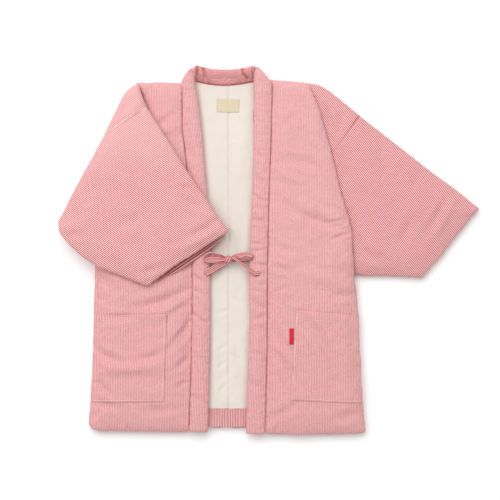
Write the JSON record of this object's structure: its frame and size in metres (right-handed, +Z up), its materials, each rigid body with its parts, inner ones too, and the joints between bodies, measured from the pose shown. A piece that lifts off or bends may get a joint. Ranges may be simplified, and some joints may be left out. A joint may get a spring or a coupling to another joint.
{
  "type": "padded kimono jacket (hanten), laid flat",
  "caption": "Padded winter kimono jacket in fine striped cotton, laid flat on its back: one sleeve turned over the front, band collar, patch pockets and a tied bow.",
  "frame": {"origin": "centre of the bounding box on the surface that the jacket lies on", "axes": "+Z up from the surface, +Y towards the collar, +X towards the wearer's left (the right of a picture taken from above)"},
  "size_m": [0.9198, 0.806, 0.059],
  "materials": {
    "striped_cotton": "plain-woven cotton with fine dark pink and off-white stripes about 3.6 mm apart, matt, softly creased",
    "lining_cotton": "plain cream cotton, matt",
    "label_cloth": "woven ivory label, bare",
    "tab_cloth": "woven red tab, bare"
  },
  "bodies": {
    "root": {"back_left": "striped_cotton", "back_right": "striped_cotton", "front_left": "striped_cotton", "front_right": "striped_cotton", "sleeve_right": "striped_cotton", "shoulder_turn_right": "striped_cotton", "sleeve_left": "striped_cotton", "shoulder_turn_left": "striped_cotton", "sleeve_left_under": "striped_cotton", "collar_left": "striped_cotton", "collar_right": "striped_cotton", "collar_neck": "striped_cotton", "lining_left": "lining_cotton", "lining_right": "lining_cotton", "hem_facing_left": "striped_cotton", "hem_facing_right": "striped_cotton", "pocket_left": "striped_cotton", "pocket_right": "striped_cotton", "neck_label": "label_cloth", "side_tab": "tab_cloth", "tie_loop_left": "striped_cotton", "tie_loop_right": "striped_cotton", "tie_tail_left": "striped_cotton", "tie_tail_right": "striped_cotton", "tie_root_left": "striped_cotton", "tie_root_right": "striped_cotton", "tie_knot": "striped_cotton"}
  },
  "joints": []
}
